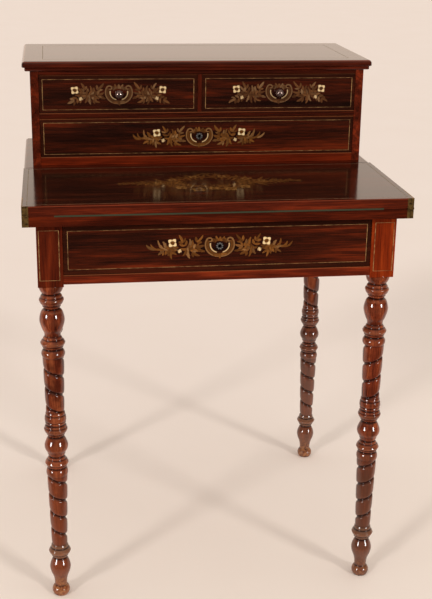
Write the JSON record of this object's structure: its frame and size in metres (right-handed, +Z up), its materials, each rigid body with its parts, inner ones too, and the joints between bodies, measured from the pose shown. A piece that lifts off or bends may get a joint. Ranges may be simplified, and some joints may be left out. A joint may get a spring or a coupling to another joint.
{
  "type": "bonheur du jour",
  "caption": "Small fold-over writing desk on turned twist legs, with a frieze drawer, a baize-lined hinged flap and a low case of inlaid drawers at the back.",
  "frame": {"origin": "on the floor, under the middle of the desk's box", "axes": "+X to the right of someone facing the desk, +Y from front to back, +Z up"},
  "size_m": [0.653, 0.5722, 0.9377],
  "materials": {
    "red_wood": "red-brown wood, French polish",
    "rosewood": "dark rosewood veneer, French polish",
    "lining_wood": "plain pale wood, waxed",
    "brass": "aged brass",
    "steel": "grey steel",
    "baize": "green wool baize"
  },
  "bodies": {
    "carcass": {"leg_front_left": "red_wood", "leg_front_right": "red_wood", "leg_rear_left": "red_wood", "leg_rear_right": "red_wood", "side_apron_left": "red_wood", "side_apron_right": "red_wood", "rear_apron": "red_wood", "front_rail": "red_wood", "lower_leaf": "red_wood", "rear_ledge": "red_wood", "case_side_left": "red_wood", "case_side_right": "red_wood", "case_base_rail": "red_wood", "case_mid_rail": "red_wood", "case_divider": "red_wood", "case_top_rail": "red_wood", "case_top": "red_wood", "cornice_moulding": "red_wood", "drawer_runner_left": "lining_wood", "drawer_runner_right": "lining_wood", "case_bottom": "lining_wood", "case_dust_board": "lining_wood", "case_back": "lining_wood", "drawer_stops": "lining_wood", "lower_baize": "baize", "lower_hinge_left": "brass", "lower_hinge_right": "brass", "hinge_pins": "brass", "lower_hinge_screws": "brass"},
    "flap": {"flap_leaf": "red_wood", "flap_baize": "baize", "flap_hinge_left": "brass", "flap_hinge_right": "brass", "flap_hinge_screws": "brass"},
    "frieze_drawer": {"frieze_drawer_front": "rosewood", "frieze_drawer_sides": "lining_wood", "frieze_drawer_bottom": "lining_wood", "frieze_drawer_back": "lining_wood", "frieze_lock_case": "steel", "frieze_escutcheon": "steel"},
    "frieze_bolt": {"frieze_lock_bolt": "steel"},
    "long_drawer": {"long_drawer_front": "rosewood", "long_drawer_sides": "lining_wood", "long_drawer_bottom": "lining_wood", "long_drawer_back": "lining_wood", "long_lock_case": "steel", "long_escutcheon": "steel"},
    "long_bolt": {"long_lock_bolt": "steel"},
    "small_drawer_left": {"small_drawer_left_front": "rosewood", "small_drawer_left_sides": "lining_wood", "small_drawer_left_bottom": "lining_wood", "small_drawer_left_back": "lining_wood", "small_knob_left": "brass"},
    "small_drawer_right": {"small_drawer_right_front": "rosewood", "small_drawer_right_sides": "lining_wood", "small_drawer_right_bottom": "lining_wood", "small_drawer_right_back": "lining_wood", "small_knob_right": "brass"}
  },
  "joints": [
    {"name": "flap_fold", "type": "hinge", "parent": "carcass", "child": "flap", "pos_m": [0, -0.28408, 0.729], "axis": [1, 0, 0], "range_deg": [0, 180]},
    {"name": "frieze_drawer_slide", "type": "slide", "parent": "carcass", "child": "frieze_drawer", "axis": [0, -1, 0], "range_m": [0, 0.33]},
    {"name": "long_drawer_slide", "type": "slide", "parent": "carcass", "child": "long_drawer", "axis": [0, -1, 0], "range_m": [0, 0.17]},
    {"name": "small_drawer_left_slide", "type": "slide", "parent": "carcass", "child": "small_drawer_left", "axis": [0, -1, 0], "range_m": [0, 0.17]},
    {"name": "small_drawer_right_slide", "type": "slide", "parent": "carcass", "child": "small_drawer_right", "axis": [0, -1, 0], "range_m": [0, 0.17]},
    {"name": "frieze_bolt_throw", "type": "slide", "parent": "frieze_drawer", "child": "frieze_bolt", "axis": [0, 0, 1], "range_m": [0, 0.006]},
    {"name": "long_bolt_throw", "type": "slide", "parent": "long_drawer", "child": "long_bolt", "axis": [0, 0, 1], "range_m": [0, 0.006]}
  ]
}
